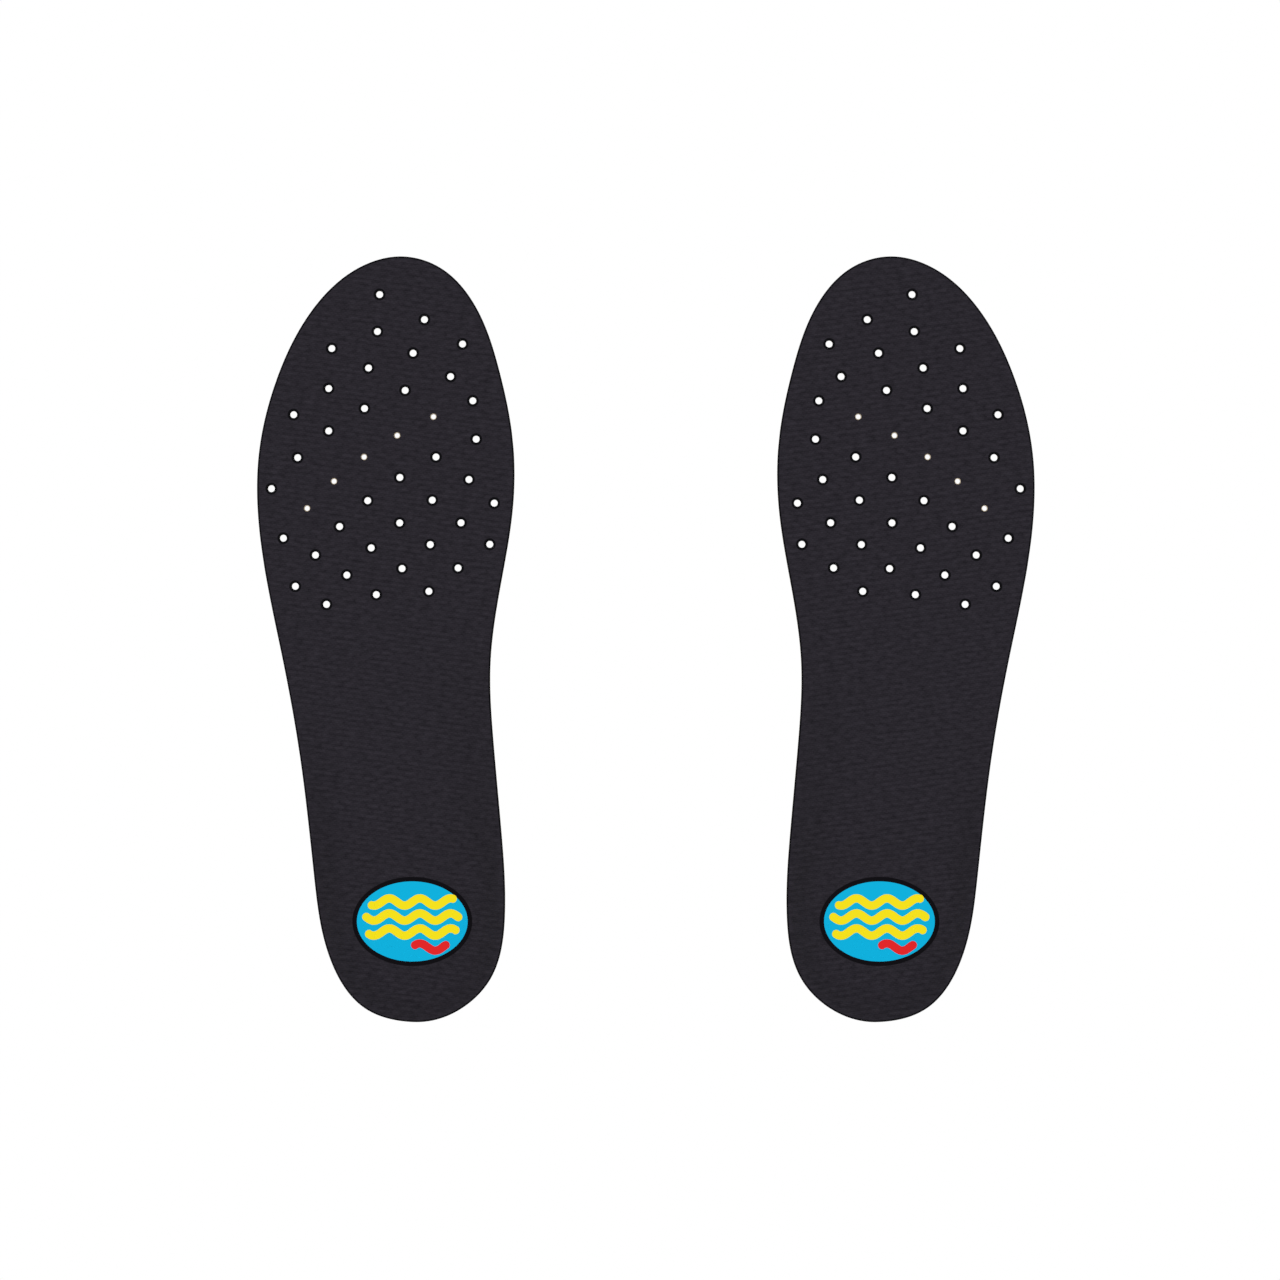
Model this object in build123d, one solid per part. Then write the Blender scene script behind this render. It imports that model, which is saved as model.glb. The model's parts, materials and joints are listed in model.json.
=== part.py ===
from build123d import *
import math
import os

import numpy as np

# Pair of cushioned insoles, left and right, lying side by side with their covers up.
# +X is to the right, +Y towards the toes, +Z up. The origin is in the middle of the pair, on the
# surface that it lies on. One insole is drawn as the left one, in its own coordinates: x across it,
# positive towards the inner side of the foot, and y from the end of its heel. Units are millimetres.

# Overall
LENGTH = 275.0
CENTRE_TO_CENTRE = 187.0  # between the two insoles
OUTLINE = [  # closed, from the end of the heel up the inner side, round the toes and back
    (10.3, 0.0), (25.9, 4.0), (37.7, 15.4), (42.9, 38.0), (41.7, 68.0), (38.7, 102.0),
    (37.7, 129.0), (40.9, 154.5), (45.7, 184.5), (45.7, 208.5), (40.8, 234.0), (32.0, 257.5),
    (19.8, 270.8), (5.6, 275.0), (-11.3, 270.0), (-27.5, 254.2), (-39.3, 230.5), (-45.6, 204.0),
    (-45.2, 174.5), (-37.4, 132.0), (-30.3, 92.5), (-25.4, 51.0), (-20.6, 25.0), (-7.4, 5.0),
]

# Layers, from the top
COVER = 0.9  # knitted cloth
FOAM = 2.6  # soft foam under the cloth
LAP = 0.1  # clearance round an insert and above it

# Heights of the top, and of the cup's rim and arch above it, as (y, value) stations
BED_HEIGHT = [(45, 9.0), (160, 5.6), (235, 5.6), (275, 4.8)]
OUTER_RISE = [(40, 8.0), (150, 0.0)]
INNER_RISE = [(30, 8.0), (90, 10.5), (162, 0.0)]
OUTER_SLOPE = [(40, 14.0), (110, 17.0)]  # how far in from the edge the rise reaches
INNER_SLOPE = [(40, 14.0), (95, 27.0)]
RIM_SHARE = 0.45  # of the slope's width: where its level top would lie, outside the edge
SIDE_BLEND = 14.0  # width over which the inner side's values give way to the outer side's
HEEL_X = 9.6  # middle of the heel
WAIST_X = 1.0  # middle of the insole ahead of the heel

# Underside: flat, and curled up to the rim
RIM_THICKNESS = [(50, 5.0), (160, 5.6)]
CURL = [(40, 18.0), (95, 30.0)]  # how far in from the edge the curl reaches
CURL_POWER = 3
FLAT_SINK = 0.3  # how far the curl's surface starts below the flat

# Ventilation holes, in rows as (number, inner end, middle, outer end)
HOLE_DIAMETER = 2.5
NARROW_DIAMETER = 1.8  # through the forefoot gel and the foams at it
NARROW_COVER_DIAMETER = 2.3  # in the cover over the gel
HOLE_ROWS = [
    (1, (-2.2, 261.3), (-2.2, 261.3), (-2.2, 261.3)),
    (3, (13.9, 252.3), (-3.0, 248.0), (-19.4, 241.9)),
    (5, (27.6, 243.5), (-6.2, 234.9), (-33.1, 218.1)),
    (6, (23.3, 231.8), (-14.3, 216.5), (-41.1, 191.5)),
    (7, (31.3, 223.1), (-7.8, 202.9), (-36.8, 173.7)),
    (7, (32.5, 209.3), (-6.5, 187.2), (-32.5, 156.4)),
    (6, (29.9, 194.8), (-0.3, 174.8), (-21.3, 149.9)),
    (5, (39.0, 186.3), (16.0, 171.4), (-3.4, 153.4)),
    (3, (37.4, 171.5), (26.0, 163.0), (15.5, 154.6)),
]
GEL_ROW = 4  # the row that the forefoot gel lies under

# Bend across the ball of the foot
BEND_Y = 188.0  # on the insole's middle line
BEND_ANGLE = 25.0  # from square across, forward on the inner side
BEND_GAP = 0.2

# Inserts in the underside
HEEL_GEL_CENTRE = (9.6, 41.0)
HEEL_GEL_RADII = (17.5, 25.0)
HEEL_GEL_HEIGHT = 4.4
FOREFOOT_GEL_WIDTH = 12.5
FOREFOOT_GEL_HEIGHT = 1.5
ARCH_CENTRE = (28.0, 97.0)
ARCH_RADII = (8.5, 29.0)
ARCH_TURN = 4.0  # degrees, from lengthwise

# Transfer print on the heel: a backing, a field on it, and the colours on that
PRINT_CENTRE = (9.6, 36.0)
PRINT_RADII = (21.5, 16.0)
PRINT_FIELD_RADII = (19.9, 14.4)
PRINT_FILM = 0.12
WAVE_LENGTH = 11.0
WAVE_HEIGHT = 1.3
WAVE_WIDTH = 3.0
WAVE_STEPS = 8  # points along one wave
YELLOW_WAVES = [(-14.5, 14.5, 7.0), (-16.5, 16.5, 1.6), (-15.5, 15.5, -3.8)]  # from x, to x, at y
RED_WAVE = (1.0, 12.0, -9.2)

# Working limits
GRID = 5.0  # spacing of the points that the curved surfaces pass through
MARGIN = 9.0  # how far those surfaces run past the outline
SURFACE_TOLERANCE = 0.02
OUTLINE_SAMPLES = 900
TALL = 40.0  # more than the height of anything here

MIDDLE_Y = LENGTH / 2


def ease(share):
    share = np.clip(share, 0.0, 1.0)
    return share**3 * (10 - 15 * share + 6 * share**2)


AT_RIM = ease(RIM_SHARE / (1 + RIM_SHARE))  # how far the slope has fallen where it meets the edge


def eased(stations, y):
    """The stations' value at y, with an even start and stop at each station."""
    value = stations[0][1] + 0.0 * y
    for (y0, v0), (y1, v1) in zip(stations, stations[1:]):
        value = value + (v1 - v0) * ease((y - y0) / (y1 - y0))
    return value


def outline_edge():
    return Edge.make_spline([Vector(x, y) for x, y in OUTLINE], periodic=True)


def outline_face():
    return Face(Wire([outline_edge()]))


def depth_inside(x, y):
    """How far each point is inside the outline, and from 0 to nearly -MARGIN outside it."""
    edge = outline_edge()
    shares = [i / OUTLINE_SAMPLES for i in range(OUTLINE_SAMPLES)]
    at = np.array([tuple(edge.position_at(s))[:2] for s in shares])
    along = np.array([tuple(edge.tangent_at(s))[:2] for s in shares])
    inward = np.stack([-along[:, 1], along[:, 0]], axis=1)
    points = np.stack([x.ravel(), y.ravel()], axis=1)
    nearest = [int(np.argmin(((at - p) ** 2).sum(axis=1))) for p in points]
    depth = ((points - at[nearest]) * inward[nearest]).sum(axis=1).reshape(x.shape)
    return np.where(depth < 0, MARGIN * np.tanh(depth / MARGIN), depth)


def grid():
    """Points across and along the insole, its depth inside the outline, and its inner side's share."""
    low_x = min(x for x, _ in OUTLINE) - MARGIN
    high_x = max(x for x, _ in OUTLINE) + MARGIN
    across = np.linspace(low_x, high_x, round((high_x - low_x) / GRID) + 1)
    along = np.linspace(-MARGIN, LENGTH + MARGIN, round((LENGTH + 2 * MARGIN) / GRID) + 1)
    x, y = np.meshgrid(across, along, indexing="ij")
    middle = HEEL_X + (WAIST_X - HEEL_X) * ease((y - HEEL_GEL_CENTRE[1]) / MIDDLE_Y)
    inner = ease((x - middle) / SIDE_BLEND + 0.5)
    return x, y, depth_inside(x, y), inner


def edge_rise(y, inner):
    return eased(INNER_RISE, y) * inner + eased(OUTER_RISE, y) * (1 - inner)


def top_heights(x, y, depth, inner):
    slope = eased(INNER_SLOPE, y) * inner + eased(OUTER_SLOPE, y) * (1 - inner)
    fall = (ease((depth / slope + RIM_SHARE) / (1 + RIM_SHARE)) - AT_RIM) / (1 - AT_RIM)
    return eased(BED_HEIGHT, y) + edge_rise(y, inner) * (1 - fall)


def curl_heights(x, y, depth, inner):
    at_edge = eased(BED_HEIGHT, y) + edge_rise(y, inner) - eased(RIM_THICKNESS, y)
    reach = eased(CURL, y) * inner + CURL[0][1] * (1 - inner)
    return at_edge * np.maximum(1 - depth / reach, 0) ** CURL_POWER - FLAT_SINK


def surface(x, y, z):
    rows = [[Vector(*p) for p in zip(xs, ys, zs)] for xs, ys, zs in zip(x, y, z)]
    return Face.make_surface_from_array_of_points(rows, tol=SURFACE_TOLERANCE)


def slab(face, top, bottom):
    """The solid from top to bottom, both measured up from a face's surface."""
    return Solid.extrude(Pos(0, 0, top) * face, Vector(0, 0, bottom - top))


def prism(face, low=-TALL, high=TALL):
    return Solid.extrude((Pos(0, 0, low) * face).face(), Vector(0, 0, high - low))


def ellipse(centre, radii, grow=0.0, turn=0.0):
    shape = Rot(0, 0, turn) * Ellipse(radii[0] + grow, radii[1] + grow)
    return (Pos(*centre) * shape).face()


def row_point(row, share):
    """The point a share of the way along a row's curve through its two ends and its middle."""
    _, first, middle, last = row
    weights = ((1 - share) * (1 - 2 * share), 4 * share * (1 - share), share * (2 * share - 1))
    return tuple(sum(w * p[i] for w, p in zip(weights, (first, middle, last))) for i in (0, 1))


def holes(over_gel):
    """One circle for each ventilation hole, with the diameter of those over the gel given."""
    made = []
    for number, row in enumerate(HOLE_ROWS):
        count = row[0]
        for i in range(count):
            in_gel = number == GEL_ROW and 0 < i < count - 1
            diameter = over_gel if in_gel else HOLE_DIAMETER
            made.append(Pos(*row_point(row, i / max(count - 1, 1))) * Circle(diameter / 2))
    return made


def stripe(points, width):
    """The face of a stripe of even width along the points, with round ends."""
    line = np.array(points)
    along = np.gradient(line, axis=0)
    along = along / np.hypot(along[:, :1], along[:, 1:])
    sideways = np.stack([along[:, 1], -along[:, 0]], axis=1)
    near, far = (line + sign * sideways * width / 2 for sign in (1, -1))
    end, start = line[-1] + along[-1] * width / 2, line[0] - along[0] * width / 2
    edges = [
        Edge.make_spline([Vector(*p) for p in near]),
        Edge.make_three_point_arc(Vector(*near[-1]), Vector(*end), Vector(*far[-1])),
        Edge.make_spline([Vector(*p) for p in far[::-1]]),
        Edge.make_three_point_arc(Vector(*far[0]), Vector(*start), Vector(*near[0])),
    ]
    return Face(Wire(edges))


def forefoot_gel_face(grow=0.0):
    """A curved strip along the inner holes of the gel's row."""
    row = HOLE_ROWS[GEL_ROW]
    ends = 1 / (row[0] - 1)
    stations = np.linspace(ends, 1 - ends, 9)
    return stripe([row_point(row, s) for s in stations], FOREFOOT_GEL_WIDTH + 2 * grow)


def bend_side(face, ahead):
    """The part of a flat face ahead of the bend (1) or behind it (-1)."""
    reach = LENGTH
    side = Pos(0, ahead * (reach + BEND_GAP / 2)) * Rectangle(4 * reach, 2 * reach)
    return (face & (Pos(0, BEND_Y) * Rot(0, 0, BEND_ANGLE) * side)).face()


def wave(start, end, height, facing):
    """A wavy stripe on the heel, running the other way where facing is -1."""
    x = np.linspace(start, end, round((end - start) / WAVE_LENGTH * WAVE_STEPS) + 1)
    y = height + WAVE_HEIGHT * np.sin(2 * math.pi * x / WAVE_LENGTH)
    points = np.stack([PRINT_CENTRE[0] + facing * x, PRINT_CENTRE[1] + y], axis=1)
    return stripe(points[::facing], WAVE_WIDTH)


def film(top, face, level):
    return slab(top, (level + 1) * PRINT_FILM, level * PRINT_FILM) & prism(face)


def heel_print(top, facing):
    """The transfer's films, drawn back to front where facing is -1."""
    yellow = [film(top, wave(*w, facing), 2).solid() for w in YELLOW_WAVES]
    return {
        "heel_print_backing": film(top, ellipse(PRINT_CENTRE, PRINT_RADII), 0),
        "heel_print_field": film(top, ellipse(PRINT_CENTRE, PRINT_FIELD_RADII), 1),
        "heel_print_waves": Compound(yellow),
        "heel_print_accent": film(top, wave(*RED_WAVE, facing), 2),
    }


def insole(top, curl):
    """The pieces of the left insole, apart from the print."""
    cloth = outline_face() - holes(NARROW_COVER_DIAMETER)
    vented = outline_face() - holes(NARROW_DIAMETER)
    toe, heel = bend_side(vented, 1), bend_side(vented, -1)
    cover = slab(top, 0, -COVER)
    foam = slab(top, -COVER, -COVER - FOAM)
    below_foam = slab(top, -COVER - FOAM, -TALL)

    forefoot_gel_space = prism(forefoot_gel_face(LAP), high=FOREFOOT_GEL_HEIGHT + LAP)
    heel_gel_space = prism(ellipse(HEEL_GEL_CENTRE, HEEL_GEL_RADII, LAP), high=HEEL_GEL_HEIGHT + LAP)
    curled = (prism(heel, 0.0) & below_foam) & slab(curl, TALL, 0)
    wedge = prism(ellipse(ARCH_CENTRE, ARCH_RADII, turn=ARCH_TURN), 0.0)
    return {
        "top_cover_forefoot": prism(bend_side(cloth, 1)) & cover,
        "top_cover_rearfoot": prism(bend_side(cloth, -1)) & cover,
        "cushion_foam_forefoot": prism(toe) & foam,
        "cushion_foam_rearfoot": prism(heel) & foam,
        "base_forefoot": (prism(toe, 0.0) & below_foam) - forefoot_gel_space,
        "base_rearfoot": curled - heel_gel_space,
        "forefoot_gel": prism(forefoot_gel_face() - holes(NARROW_DIAMETER), 0.0, FOREFOOT_GEL_HEIGHT),
        "heel_gel": prism(ellipse(HEEL_GEL_CENTRE, HEEL_GEL_RADII), 0.0, HEEL_GEL_HEIGHT),
        "arch_support": wedge & slab(curl, -LAP, -TALL),
    }


def main():
    os.makedirs("parts", exist_ok=True)
    points = grid()
    top = surface(*points[:2], top_heights(*points))
    curl = surface(*points[:2], curl_heights(*points))
    pieces = insole(top, curl)
    to_left = Pos(-CENTRE_TO_CENTRE / 2, -MIDDLE_Y, 0)
    for name, shape in {**pieces, **heel_print(top, 1)}.items():
        export_step(to_left * Compound(shape.solids()), f"parts/left_{name}.step")
    for name, shape in {**pieces, **heel_print(top, -1)}.items():
        placed = to_left * Compound(shape.solids())
        export_step(mirror(placed, about=Plane.YZ), f"parts/right_{name}.step")


main()
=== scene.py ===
import json
import math

import bpy
import numpy as np
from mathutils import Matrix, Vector
from mathutils.bvhtree import BVHTree
from mathutils.geometry import delaunay_2d_cdt


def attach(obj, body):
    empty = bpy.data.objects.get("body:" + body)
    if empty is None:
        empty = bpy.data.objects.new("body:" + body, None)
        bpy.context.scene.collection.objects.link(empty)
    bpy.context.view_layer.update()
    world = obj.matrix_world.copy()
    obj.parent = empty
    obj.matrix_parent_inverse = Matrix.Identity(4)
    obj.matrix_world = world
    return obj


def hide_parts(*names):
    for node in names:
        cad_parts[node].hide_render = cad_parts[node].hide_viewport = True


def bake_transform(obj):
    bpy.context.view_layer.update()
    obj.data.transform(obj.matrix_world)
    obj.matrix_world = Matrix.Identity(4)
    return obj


# Looks of the pair of insoles, built round the imported CAD. Lengths are in metres.
# Each layer that the CAD cuts at the bend is one piece here.

LAYERS = ("top_cover", "cushion_foam", "base")
HALVES = ("rearfoot", "forefoot")
GELS = ("heel_gel", "forefoot_gel")
SLOTS = {
    "top_cover": "cover_cloth",
    "cushion_foam": "cushion_foam",
    "base": "base_foam",
    "heel_gel": "gel",
    "forefoot_gel": "gel",
}
PRINT_LOOKS = {
    "heel_print_backing": "print_black",
    "heel_print_field": "print_cyan",
    "heel_print_waves": "print_yellow",
    "heel_print_accent": "print_red",
}

# Reading the CAD's meshes
WELDS_PER_METRE = 1e6  # points that round to the same one of these are joined
WALL_LEAN = 0.05  # a wall's normal leans less than this from level
CUT_GAP = 0.0005  # outline points nearer to the bend's cut than this are left out
RAY_HEIGHT = 0.1
SEARCH_STEP = 0.0002
TINY = 1e-15

# Mesh sizes
LAYER_SPACING = 0.0018
GEL_SPACING = 0.0011
OUTLINE_STEP = 0.0014
HOLE_STEP = 0.0003
FILL_GAP = 0.55  # share of the spacing that stays free along the edges
CDT_EPSILON = 1e-8
CHUNK = 500
SMOOTHING = (0.5, -0.52) * 5  # each step out is taken back, so that hollows keep their depth
ROUNDING_STEPS = 3
ROUNDING_SHARE = 0.45  # most of a wall's height that one rounding takes
CLEARANCE = 0.00004  # between the layers, and under the print

# The base's mesh steps from its underside to the gels' pockets between two lines round each gel
SEAM_GAPS = (0.00005, 0.00025)
SEAM_REACH = 1.2  # share of the spacing within which nothing is smoothed

# Widths of the rounded edges; the cover's walls round its outline and its wider holes are painted dark
# as shade
COVER_EDGE = 0.0006
COVER_HOLE_EDGE = 0.0009
NARROW_EDGE = 0.0002
NARROW_HOLE = 0.0024  # a hole less than this across has no painted shade on its wall
FOAM_EDGE = 0.0003
BASE_EDGE = 0.0008
GEL_EDGE = 0.0004

# Ribs on the gel's underside
RIB_PITCH = 0.0042
RIB_DEPTH = 0.0005
RIB_STEP = 0.0005

# Camera, straight above, and far off, so that near and far parts have the same scale
VIEW_WIDTH = 0.4598  # across the picture, at the insoles
VIEW_LEVEL = 0.009
VIEW_OFFSET = (-0.0021, -0.0004)
LENS = 500.0
SENSOR = 36.0
FARTHEST = 20.0

# Light: a wide sun overhead, with a white sky that gives the rest
SUN_SHARE = 0.6
SUN_WIDTH = 30.0  # degrees across
FLOOR_SIZE = 6.0
FLOOR_LEVEL = -0.0003

# Woven cloth, in millimetres and degrees
THREAD_LENGTH = 4.8
ROW_PITCH = 1.9
ROW_TILT = 8.0  # falling towards the inner side
FINE_PITCH = 0.7
FINE_SHARE = 0.3
NOISE_SIZE = 0.7  # of the unevenness, beside a thread's length and a row's pitch
NOISE_SHARE = 0.65
NOISE_RANGE = (0.3, 0.7)
DULL_THREAD = 0.55

# Foam, in millimetres
FINE_CELL = 0.5
COARSE_CELL = 0.8

# Colours, as linear red, green and blue
CLOTH = (0.0362, 0.0320, 0.0415)
CLOTH_DARK = (0.0118, 0.0104, 0.0140)
# painted shade: the dark colour of the cover's walls, round its holes and its outline
CLOTH_EDGE_SHADE = (0.0045, 0.0043, 0.0055)
CREAM = (0.72, 0.60, 0.42)
BASE_GREY = (0.030, 0.031, 0.037)
GEL_BLUE = (0.02, 0.20, 0.55)
ARCH_BLUE = (0.03, 0.075, 0.14)
PRINT_BLACK = (0.0027, 0.0021, 0.0037)
PRINT_CYAN = (0.002, 0.44, 0.73)
PRINT_YELLOW = (0.92, 0.76, 0.01)
PRINT_RED = (0.76, 0.018, 0.02)


# Reading the CAD


def welded(node):
    """A node's points and triangles, with the points that lie together joined."""
    mesh = node.data
    mesh.calc_loop_triangles()
    points = np.array([v.co for v in mesh.vertices], float)
    triangles = np.array([t.vertices for t in mesh.loop_triangles], int)
    keys = np.round(points * WELDS_PER_METRE).astype(np.int64)
    _, first, joined = np.unique(keys, axis=0, return_index=True, return_inverse=True)
    triangles = joined.ravel()[triangles]
    sides = (triangles[:, [1, 2, 0]] != triangles).all(axis=1)
    return points[first], triangles[sides]


def leans(points, triangles):
    """The upward part of each triangle's normal."""
    a, b, c = (points[triangles[:, i]] for i in range(3))
    normals = np.cross(b - a, c - a)
    return normals[:, 2] / np.maximum(np.linalg.norm(normals, axis=1), TINY)


def loops(node, facing):
    """The closed lines where a node's walls meet what faces up (1) or down (-1)."""
    points, triangles = welded(node)
    lean = leans(points, triangles)
    around = [[0, 1], [1, 2], [2, 0]]
    edges = triangles[lean * facing > WALL_LEAN][:, around].reshape(-1, 2)
    walls = triangles[np.abs(lean) <= WALL_LEAN][:, around].reshape(-1, 2)
    wall_edges = {tuple(edge) for edge in walls}
    following = {a: b for a, b in edges if (b, a) in wall_edges}
    found = []
    while following:
        start, at = following.popitem()
        line = [start]
        while at != start and at in following:
            line.append(at)
            at = following.pop(at)
        line = points[line][:, :2]
        found.append(line if facing > 0 else line[::-1])
    return found


def area(line):
    """The area inside a closed line, more than 0 where it runs anticlockwise."""
    ahead = np.roll(line, -1, axis=0)
    return float((line[:, 0] * ahead[:, 1] - line[:, 1] * ahead[:, 0]).sum() / 2)


def by_area(lines):
    return sorted(lines, key=lambda line: abs(area(line)))


def evenly(line, step):
    """A closed line again, with points about a step apart on a smooth curve through the old ones."""
    closed = np.concatenate([line[-1:], line, line[:2]])
    lengths = np.linalg.norm(np.diff(closed, axis=0), axis=1)
    along = np.concatenate([[0], np.cumsum(lengths)]) - lengths[0]
    total = along[-2]
    tangents = np.gradient(closed, axis=0) / np.gradient(along)[:, None]
    at = np.arange(round(total / step)) * total / round(total / step)
    i = np.clip(np.searchsorted(along, at, side="right") - 1, 0, len(closed) - 2)
    span = (along[i + 1] - along[i])[:, None]
    t = (at - along[i])[:, None] / span
    start, end = closed[i], closed[i + 1]
    pull, push = tangents[i] * span, tangents[i + 1] * span
    return (
        (2 * t**3 - 3 * t**2 + 1) * start
        + (t**3 - 2 * t**2 + t) * pull
        + (3 * t**2 - 2 * t**3) * end
        + (t**3 - t**2) * push
    )


def outline_across_bend(nodes, hinge, forward):
    """The outline of a layer that the CAD cuts in two at the bend, as one closed line."""
    points = np.concatenate([by_area(loops(node, 1))[-1] for node in nodes])
    off_cut = np.abs((points - hinge[:2]) @ forward[:2]) > CUT_GAP
    points = points[off_cut]
    middle = (points.min(axis=0) + points.max(axis=0)) / 2
    angles = np.arctan2(*(points - middle).T[::-1])
    return evenly(points[np.argsort(angles)], OUTLINE_STEP)


def rounded(line):
    """A round hole's line again, with even points on its circle, running clockwise."""
    centre = evenly(line, HOLE_STEP).mean(axis=0)
    radius = np.linalg.norm(line - centre, axis=1).mean()
    count = round(2 * math.pi * radius / HOLE_STEP)
    turns = -2 * math.pi * np.arange(count) / count
    return centre + radius * np.column_stack([np.cos(turns), np.sin(turns)])


def round_holes(nodes):
    """Every hole's line inside the nodes' outlines."""
    return [rounded(line) for node in nodes for line in by_area(loops(node, 1))[:-1]]


class Surface:
    """The heights of the CAD nodes' upper or lower surface."""

    def __init__(self, nodes, facing):
        self.facing = facing
        self.trees = []
        for node in nodes:
            points, triangles = welded(node)
            self.trees.append(BVHTree.FromPolygons(points.tolist(), triangles.tolist()))

    def height(self, x, y):
        start = Vector((x, y, self.facing * RAY_HEIGHT))
        hits = [tree.ray_cast(start, Vector((0, 0, -self.facing)))[0] for tree in self.trees]
        heights = [hit.z for hit in hits if hit is not None]
        return max(heights, key=lambda z: z * self.facing) if heights else None

    def heights(self, points, centre):
        """One height for each point; a point over a gap or edge takes those round it."""
        found = []
        for x, y in points:
            z = self.height(x, y)
            reach = SEARCH_STEP
            while z is None:
                inward = (centre - (x, y)) / np.linalg.norm(centre - (x, y)) * reach
                places = [(x, y) + inward, (x, y + reach), (x, y - reach)]
                tries = [self.height(*place) for place in places]
                near = [t for t in tries if t is not None]
                z = sum(near) / len(near) if near else None
                reach += SEARCH_STEP
            found.append(z)
        return np.array(found)


# Building the pieces


def inside(points, line):
    """Whether each point is inside a closed line."""
    x, y = points[:, :1], points[:, 1:]
    ahead = np.roll(line, -1, axis=0)
    crosses = (line[:, 1] > y) != (ahead[:, 1] > y)
    rise = np.where(ahead[:, 1] == line[:, 1], TINY, ahead[:, 1] - line[:, 1])
    at = line[:, 0] + (y - line[:, 1]) / rise * (ahead[:, 0] - line[:, 0])
    return (crosses & (x < at)).sum(axis=1) % 2 == 1


def within(points, outer, holes):
    """Whether each point is inside the outer line and outside every hole."""
    found = inside(points, outer)
    for hole in holes:
        found &= ~inside(points, hole)
    return found


def distance_to(points, line):
    """The distance from each point to the nearest of a line's points."""
    found = np.empty(len(points))
    for i in range(0, len(points), CHUNK):
        away = np.linalg.norm(points[i : i + CHUNK, None] - line[None], axis=2)
        found[i : i + CHUNK] = away.min(axis=1)
    return found


def outward(line):
    """The level direction out of the material at each point of a closed line."""
    along = np.roll(line, -1, axis=0) - np.roll(line, 1, axis=0)
    along = along / np.linalg.norm(along, axis=1)[:, None]
    return np.stack([along[:, 1], -along[:, 0]], axis=1)


def hexagonal(low, high, spacing):
    """Points in staggered rows over a rectangle."""
    rows = np.arange(low[1], high[1], spacing * math.sqrt(3) / 2)
    columns = np.arange(low[0], high[0], spacing)
    x = columns[None, :] + (np.arange(len(rows)) % 2)[:, None] * spacing / 2
    y = np.repeat(rows[:, None], len(columns), axis=1)
    return np.stack([x.ravel(), y.ravel()], axis=1)


def triangulated(edges, seams, spacing):
    """The flat sheet inside the first edge and outside the others.

    Gives its points, its triangles, and the numbers of each edge's points.
    """
    outer, *holes = edges
    fill = hexagonal(outer.min(axis=0), outer.max(axis=0), spacing)
    fill = fill[within(fill, outer, holes)]
    fill = fill[distance_to(fill, np.concatenate([*edges, *seams])) > spacing * FILL_GAP]
    every = [*edges, *seams, fill]
    ends = np.cumsum([0] + [len(line) for line in every])
    numbers = [np.arange(start, end) for start, end in zip(ends[:-2], ends[1:])]
    sides = [pair for own in numbers for pair in zip(own.tolist(), np.roll(own, -1).tolist())]
    flat = [Vector(point) for point in np.concatenate(every)]
    found, _, faces, sources, _, _ = delaunay_2d_cdt(flat, sides, [], 0, CDT_EPSILON)
    place = {old: new for new, olds in enumerate(sources) for old in olds}
    points = np.array([tuple(point) for point in found])
    faces = np.array(faces)
    faces = faces[within(points[faces].mean(axis=1), outer, holes)]
    rims = [np.array([place[i] for i in own]) for own in numbers[: len(edges)]]
    return points, faces, rims


def smoothed(heights, faces, edges, fixed):
    """Heights evened out between neighbours; the edges are evened only along themselves."""
    pairs = np.concatenate([faces[:, [0, 1]], faces[:, [1, 2]], faces[:, [2, 0]]])
    pairs = np.concatenate([pairs, pairs[:, ::-1]])
    counts = np.maximum(np.bincount(pairs[:, 0], minlength=len(heights)), 1)
    held = fixed.copy()
    for edge in edges:
        held[edge] = True
    for share in SMOOTHING:
        around = np.bincount(pairs[:, 0], weights=heights[pairs[:, 1]], minlength=len(heights))
        heights = np.where(held, heights, heights + share * (around / counts - heights))
        for edge in edges:
            line = heights[edge]
            beside = (np.roll(line, 1) + np.roll(line, -1)) / 2
            heights[edge] = line + share * (beside - line)
    return heights


def wall_rings(line, top, bottom, edge):
    """Rings down a wall, from a sheet's edge at the top to its edge at the bottom, rounded at both."""
    away = outward(line)
    radius = np.minimum(edge, (top - bottom) * ROUNDING_SHARE)
    upper, lower = [], []
    for i in range(1, ROUNDING_STEPS + 1):
        turn = math.pi / 2 * i / ROUNDING_STEPS
        out = line + away * edge * math.sin(turn)
        drop = radius * (1 - math.cos(turn))
        upper.append(np.column_stack([out, top - drop]))
        lower.append(np.column_stack([out, bottom + drop]))
    return upper + lower[::-1]


def narrow(line):
    return abs(area(line)) < math.pi / 4 * NARROW_HOLE**2


def wall_faces(rings):
    """The four-sided faces between rings of point numbers, from the top down."""
    faces = []
    for above, below in zip(rings, rings[1:]):
        quads = np.stack([above, below, np.roll(below, -1), np.roll(above, -1)], axis=1)
        faces += quads.tolist()
    return faces


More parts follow.
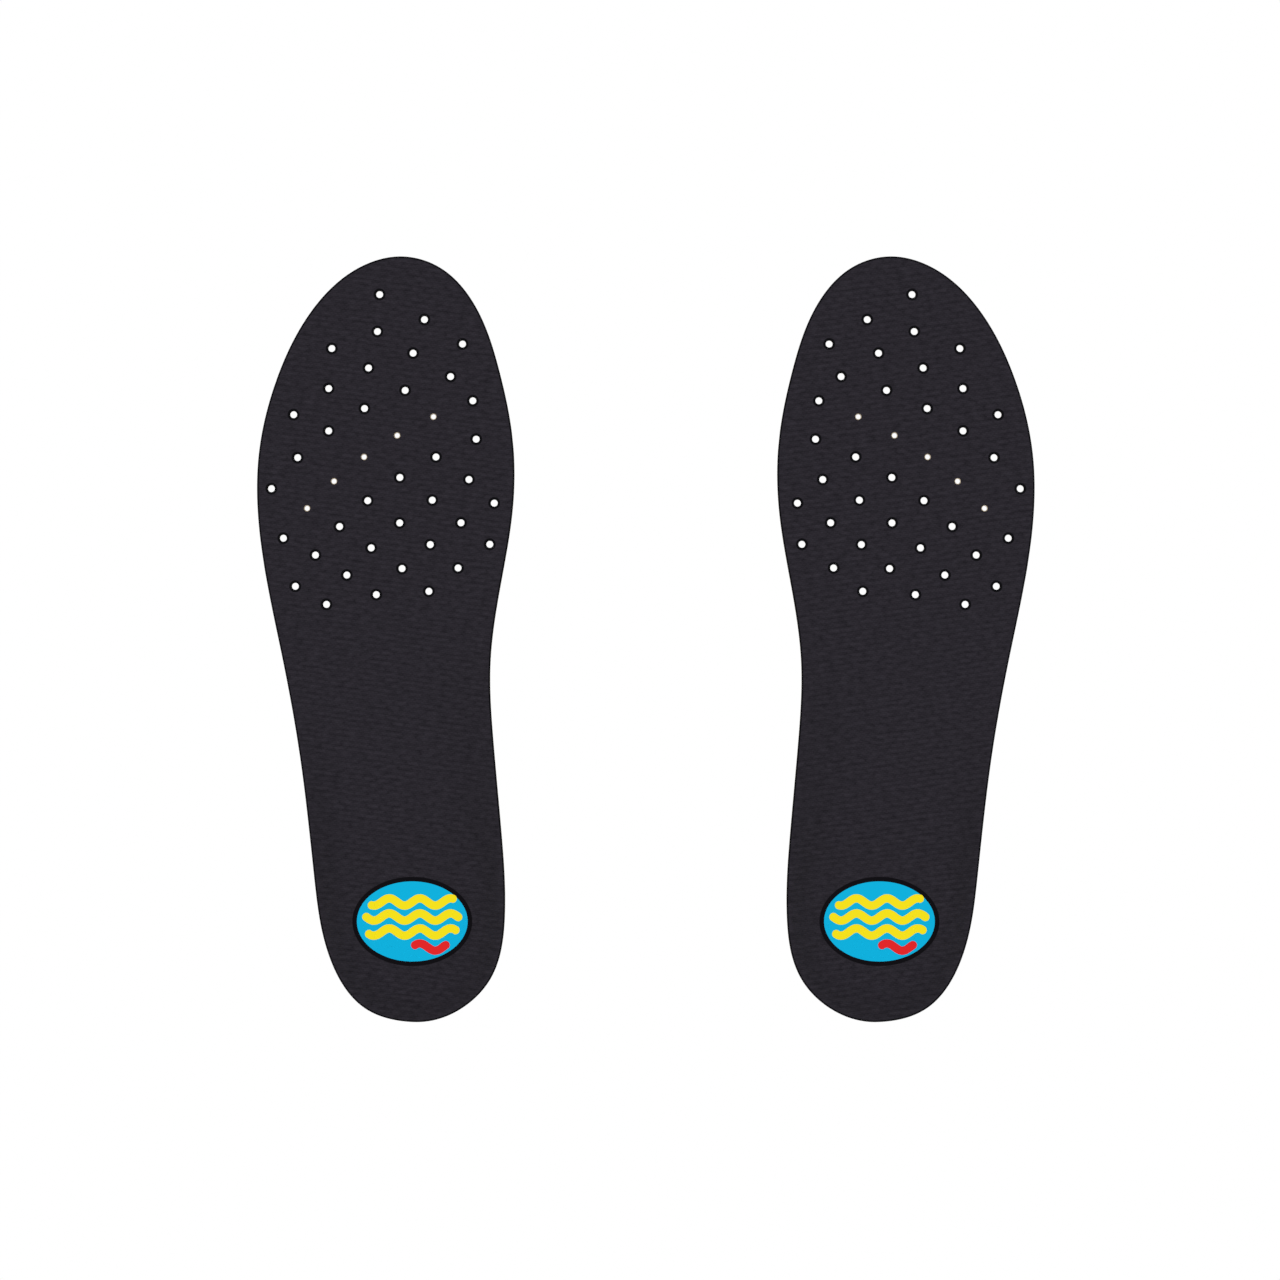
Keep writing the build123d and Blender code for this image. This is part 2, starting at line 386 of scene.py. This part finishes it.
def shell(name, outline, holes, upper, lower, edge, spacing, seams=(), relief=None, hole_edge=None):
    """A closed piece between two surfaces, with rounded edges at its outline and round its holes.

    Its walls take the second material slot, apart from those in narrow holes; on the cover that slot
    holds painted shade.
    """
    lines = [outline, *holes]
    wide = hole_edge or edge
    widths = [edge] + [min(wide, NARROW_EDGE) if narrow(hole) else wide for hole in holes]
    edges = [line - outward(line) * width for line, width in zip(lines, widths)]
    points, faces, rims = triangulated(edges, list(seams), spacing)
    centre = (outline.min(axis=0) + outline.max(axis=0)) / 2
    held = np.zeros(len(points), bool)
    for seam in seams:
        held |= distance_to(points, seam) < spacing * SEAM_REACH
    top = smoothed(upper.heights(points, centre), faces, rims, held) - CLEARANCE
    bottom = smoothed(lower.heights(points, centre), faces, rims, held)
    if relief is not None:
        bottom = bottom + relief(points, edges[0])
    count = len(points)
    vertices = [np.column_stack([points, top]), np.column_stack([points, bottom])]
    polygons = faces.tolist() + (faces[:, ::-1] + count).tolist()
    slots = [0] * len(polygons)
    used = 2 * count
    for line, rim, width in zip(lines, rims, widths):
        rings = wall_rings(points[rim], top[rim], bottom[rim], width)
        numbers = np.arange(used, used + len(rings) * len(rim)).reshape(len(rings), -1)
        added = wall_faces([rim, *numbers, rim + count])
        vertices += rings
        polygons += added
        # the second slot, on the cover, paints shade on these walls
        slots += [0 if narrow(line) else 1] * len(added)
        used += numbers.size
    return piece(name, np.concatenate(vertices), polygons, slots)


def piece(name, vertices, polygons, slots):
    """A smooth mesh object, with a slot for each polygon, and its place from above as its flat map."""
    mesh = bpy.data.meshes.new(name)
    mesh.from_pydata(vertices.tolist(), [], polygons)
    mesh.polygons.foreach_set("material_index", slots)
    mesh.validate()
    mesh.update()
    flat = mesh.uv_layers.new(name="flat")
    for corner in mesh.loops:
        flat.data[corner.index].uv = mesh.vertices[corner.vertex_index].co.xy
    mesh.shade_smooth()
    made = bpy.data.objects.new(name, mesh)
    bpy.context.scene.collection.objects.link(made)
    return made


def ribs(points, edge):
    """Shallow grooves that follow the gel's own edge."""
    depth = distance_to(points, evenly(edge, RIB_STEP))
    wave = 0.5 - 0.5 * np.cos(2 * math.pi * depth / RIB_PITCH)
    return RIB_DEPTH * wave * np.clip(depth / RIB_PITCH * 2, 0, 1)


# Materials


class Look:
    """A material, and short ways to add to it."""

    def __init__(self, name, colour, roughness, **sockets):
        self.material = bpy.data.materials.new(name)
        self.material.use_nodes = True
        self.tree = self.material.node_tree
        self.shader = self.tree.nodes["Principled BSDF"]
        self.shader.inputs["Base Color"].default_value = (*colour, 1.0)
        self.shader.inputs["Roughness"].default_value = roughness
        for socket, value in sockets.items():
            self.shader.inputs[socket.replace("_", " ")].default_value = value

    def add(self, kind, **values):
        node = self.tree.nodes.new(kind)
        for name, value in values.items():
            if hasattr(node, name):
                setattr(node, name, value)
            else:
                node.inputs[name.replace("_", " ")].default_value = value
        return node

    def link(self, source, target):
        self.tree.links.new(source, target)

    def flat_map(self, scale, turn=0.0):
        """Millimetres across the piece's flat map, divided by a scale, turned by some degrees."""
        source = self.add("ShaderNodeUVMap", uv_map="flat")
        size = (1000 / scale[0], 1000 / scale[1], 1000 / scale[0])
        rotation = (0, 0, math.radians(turn))
        placed = self.add("ShaderNodeMapping", vector_type="POINT", Scale=size, Rotation=rotation)
        self.link(source.outputs["UV"], placed.inputs["Vector"])
        return placed.outputs["Vector"]

    def space(self, scale):
        """Millimetres in space, divided by a scale."""
        source = self.add("ShaderNodeTexCoord")
        placed = self.add("ShaderNodeMapping", Scale=(1000 / scale,) * 3)
        self.link(source.outputs["Object"], placed.inputs["Vector"])
        return placed.outputs["Vector"]

    def bump(self, height, strength, distance):
        node = self.add("ShaderNodeBump", Strength=strength, Distance=distance)
        self.link(height, node.inputs["Height"])
        self.link(node.outputs["Normal"], self.shader.inputs["Normal"])

    def blended(self, share, first, second):
        """The first pattern, with a share of the second mixed in."""
        mix = self.add("ShaderNodeMix", data_type="FLOAT", Factor=share)
        self.link(first, mix.inputs["A"])
        self.link(second, mix.inputs["B"])
        return mix.outputs["Result"]

    def mixed_colour(self, share, low, high):
        ramp = self.add("ShaderNodeValToRGB")
        ramp.color_ramp.elements[0].color = (*low, 1.0)
        ramp.color_ramp.elements[1].color = (*high, 1.0)
        self.link(share, ramp.inputs["Fac"])
        self.link(ramp.outputs["Color"], self.shader.inputs["Base Color"])


def threads(look, length, pitch, tilt):
    """A pattern of short staggered threads, light along their middles and black between them."""
    bricks = look.add(
        "ShaderNodeTexBrick",
        offset=0.5,
        offset_frequency=2,
        squash=1.0,
        Color1=(1, 1, 1, 1),
        Color2=(DULL_THREAD, DULL_THREAD, DULL_THREAD, 1),
        Mortar=(0, 0, 0, 1),
        Scale=1.0,
        Mortar_Size=pitch / 2,
        Mortar_Smooth=1.0,
        Bias=0.0,
        Brick_Width=length,
        Row_Height=pitch,
    )
    look.link(look.flat_map((1.0, 1.0), tilt), bricks.inputs["Vector"])
    return bricks.outputs["Color"]


def weave(look, tilt):
    """The cloth's relief: long soft dashes, fine threads, and an unevenness."""
    dashes = threads(look, THREAD_LENGTH, ROW_PITCH, tilt)
    fine = threads(look, FINE_PITCH * 2, FINE_PITCH, tilt)
    noise = look.add("ShaderNodeTexNoise", Scale=1.0, Detail=2.0, Roughness=0.6)
    size = (THREAD_LENGTH * NOISE_SIZE, ROW_PITCH * NOISE_SIZE)
    look.link(look.flat_map(size, tilt), noise.inputs["Vector"])
    low, high = NOISE_RANGE
    uneven = look.add("ShaderNodeMapRange", From_Min=low, From_Max=high)
    look.link(noise.outputs["Fac"], uneven.inputs["Value"])
    long_part = look.blended(NOISE_SHARE, dashes, uneven.outputs["Result"])
    return look.blended(FINE_SHARE, long_part, fine)


def cloth(name, tilt):
    look = Look(name, CLOTH, 0.95, Sheen_Weight=0.03, Sheen_Roughness=0.6, Specular_IOR_Level=0.05)
    relief = weave(look, tilt)
    look.mixed_colour(relief, CLOTH_DARK, CLOTH)
    look.bump(relief, 0.5, 0.0003)
    return look.material


def foam(name, colour, dark_share, cell):
    """Matt foam, whose cells run from a dark share of its colour to the colour itself."""
    look = Look(name, colour, 0.95, Specular_IOR_Level=0.15)
    noise = look.add("ShaderNodeTexNoise", Scale=1.0, Detail=3.0, Roughness=0.6)
    look.link(look.space(cell), noise.inputs["Vector"])
    look.mixed_colour(noise.outputs["Fac"], tuple(dark_share * c for c in colour), colour)
    look.bump(noise.outputs["Fac"], 0.4, 0.0003)
    return look.material


def gel():
    look = Look("gel", GEL_BLUE, 0.28, Transmission_Weight=0.25, IOR=1.42, Subsurface_Weight=0.3)
    look.shader.inputs["Subsurface Radius"].default_value = (0.002, 0.004, 0.008)
    look.shader.inputs["Subsurface Scale"].default_value = 0.5
    return look.material


def matt(name, colour, roughness):
    return Look(name, colour, roughness, Specular_IOR_Level=0.05).material


def make_looks():
    return {
        "cover_cloth_left": cloth("cloth_left", ROW_TILT),
        "cover_cloth_right": cloth("cloth_right", -ROW_TILT),
        "cushion_foam": foam("cream_foam", CREAM, 0.8, FINE_CELL),
        "base_foam": foam("moulded_foam", BASE_GREY, 0.7, COARSE_CELL),
        "gel": gel(),
        "arch_support": foam("arch_foam", ARCH_BLUE, 0.8, COARSE_CELL),
        # painted shade for the cover's walls
        "cloth_edge_shade": matt("cloth_edge_shade", CLOTH_EDGE_SHADE, 0.95),
        "print_black": matt("print_black", PRINT_BLACK, 0.7),
        "print_cyan": matt("print_cyan", PRINT_CYAN, 0.7),
        "print_yellow": matt("print_yellow", PRINT_YELLOW, 0.7),
        "print_red": matt("print_red", PRINT_RED, 0.7),
    }


# the edge material, where given, paints shade on the piece's walls
def worn_by(obj, material, edge=None):
    if obj.data.materials:
        obj.data.materials.clear()
    obj.data.materials.append(material)
    if edge is not None:
        obj.data.materials.append(edge)


# Putting one insole together


def bend_of(frame, side):
    """The hinge's place and the level direction ahead of it."""
    joint = next(j for j in frame["joints"] if j["name"] == f"{side}_flex")
    axis = np.array(joint["axis"], float)
    forward = np.cross((0, 0, 1), axis)
    return np.array(joint["pos_m"], float), forward


def make_layers(side, halves, outline, holes, gel_outlines):
    """The cover, the foam and the base, each as one piece across the bend."""
    tops = {layer: Surface(halves[layer], 1) for layer in LAYERS}
    underside = Surface(halves["base"], -1)
    seams = [line + outward(line) * gap for line in gel_outlines for gap in SEAM_GAPS]
    cover = shell(
        f"{side}_cover",
        outline,
        holes["top_cover"],
        tops["top_cover"],
        tops["cushion_foam"],
        COVER_EDGE,
        LAYER_SPACING,
        hole_edge=COVER_HOLE_EDGE,
    )
    cushion = shell(
        f"{side}_foam",
        outline,
        holes["cushion_foam"],
        tops["cushion_foam"],
        tops["base"],
        FOAM_EDGE,
        LAYER_SPACING,
    )
    base = shell(
        f"{side}_base",
        outline,
        holes["base"],
        tops["base"],
        underside,
        BASE_EDGE,
        LAYER_SPACING,
        seams,
    )
    return dict(zip(LAYERS, (cover, cushion, base)))


def make_pad(side, name, node, line):
    """One gel pad, with the ventilation holes that run through it."""
    surfaces = Surface([node], 1), Surface([node], -1)
    vents = round_holes([node])
    return shell(f"{side}_{name}_pad", line, vents, *surfaces, GEL_EDGE, GEL_SPACING, relief=ribs)


def wear(side, made, nodes, looks):
    """Put the materials on the pieces made here and on the nodes that stay as they are."""
    for name, obj in made.items():
        if name == "top_cover":
            # the second material paints shade on the cover's walls
            worn_by(obj, looks[f"cover_cloth_{side}"], looks["cloth_edge_shade"])
        else:
            worn_by(obj, looks[SLOTS[name]])
    worn_by(nodes["arch_support"], looks["arch_support"])
    for part, look in PRINT_LOOKS.items():
        worn_by(nodes[part], looks[look])


def dress(frame, side, looks):
    """Give one insole its whole layers, its gel pads and its looks, and join its heel pad to the
    rearfoot body.
    """
    nodes = {n.removeprefix(f"{side}_"): o for n, o in frame["nodes"].items() if n.startswith(side)}
    hinge, forward = bend_of(frame, side)
    halves = {layer: [nodes[f"{layer}_{half}"] for half in HALVES] for layer in LAYERS}
    outline = outline_across_bend(halves["top_cover"], hinge, forward)
    holes = {layer: round_holes(halves[layer]) for layer in LAYERS}
    gel_outlines = [evenly(by_area(loops(nodes[gel], -1))[-1], GEL_SPACING) for gel in GELS]

    made = make_layers(side, halves, outline, holes, gel_outlines)
    for layer, obj in made.items():
        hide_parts(*[f"{side}_{layer}_{half}" for half in HALVES])
    for name, line in zip(GELS, gel_outlines):
        pad = make_pad(side, name, nodes[name], line)
        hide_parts(f"{side}_{name}")
        made[name] = pad

    for name in ("top_cover", "cushion_foam", "base", "forefoot_gel"):
        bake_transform(made[name])
    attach(made["heel_gel"], f"{side}_rearfoot")

    wear(side, made, nodes, looks)


# Surroundings


def glowing_floor():
    """A white floor that gives even light and takes no shadow."""
    bpy.ops.mesh.primitive_plane_add(size=FLOOR_SIZE, location=(0, 0, FLOOR_LEVEL))
    floor = bpy.context.object
    floor.name = "floor"
    material = bpy.data.materials.new("floor")
    material.use_nodes = True
    nodes = material.node_tree.nodes
    nodes.clear()
    glow = nodes.new("ShaderNodeEmission")
    glow.inputs["Color"].default_value = (1, 1, 1, 1)
    glow.inputs["Strength"].default_value = 1.0
    out = nodes.new("ShaderNodeOutputMaterial")
    material.node_tree.links.new(glow.outputs["Emission"], out.inputs["Surface"])
    floor.data.materials.append(material)


def white_sky():
    """A sky that looks white, and lights the insoles with what the sun leaves."""
    world = bpy.data.worlds.new("white")
    world.use_nodes = True
    tree = world.node_tree
    seen = tree.nodes.new("ShaderNodeLightPath").outputs["Is Camera Ray"]
    strength = tree.nodes.new("ShaderNodeMapRange")
    strength.inputs["To Min"].default_value = 1.0 - SUN_SHARE
    strength.inputs["To Max"].default_value = 1.0
    tree.links.new(seen, strength.inputs["Value"])
    background = tree.nodes["Background"]
    background.inputs["Color"].default_value = (1, 1, 1, 1)
    tree.links.new(strength.outputs["Result"], background.inputs["Strength"])
    bpy.context.scene.world = world


def overhead_sun():
    data = bpy.data.lights.new("sun", "SUN")
    data.energy = math.pi * SUN_SHARE
    data.angle = math.radians(SUN_WIDTH)
    sun = bpy.data.objects.new("sun", data)
    sun.location = (0, 0, 1)
    bpy.context.scene.collection.objects.link(sun)


def camera():
    data = bpy.data.cameras.new("camera")
    data.lens = LENS
    data.sensor_width = SENSOR
    data.clip_end = FARTHEST
    cam = bpy.data.objects.new("camera", data)
    cam.location = (*VIEW_OFFSET, VIEW_LEVEL + VIEW_WIDTH * LENS / SENSOR)
    bpy.context.scene.collection.objects.link(cam)
    bpy.context.scene.camera = cam


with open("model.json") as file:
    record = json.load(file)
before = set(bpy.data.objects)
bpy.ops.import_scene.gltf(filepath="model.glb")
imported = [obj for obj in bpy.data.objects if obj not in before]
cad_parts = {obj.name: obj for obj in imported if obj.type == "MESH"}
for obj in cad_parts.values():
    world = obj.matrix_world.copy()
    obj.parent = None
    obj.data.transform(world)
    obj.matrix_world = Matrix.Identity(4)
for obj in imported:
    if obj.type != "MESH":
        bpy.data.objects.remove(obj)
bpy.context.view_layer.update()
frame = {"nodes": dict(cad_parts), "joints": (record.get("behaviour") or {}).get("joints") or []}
glowing_floor()
white_sky()
overhead_sun()
camera()
looks = make_looks()
for side in ("left", "right"):
    dress(frame, side, looks)
bpy.context.scene.view_settings.view_transform = "Standard"
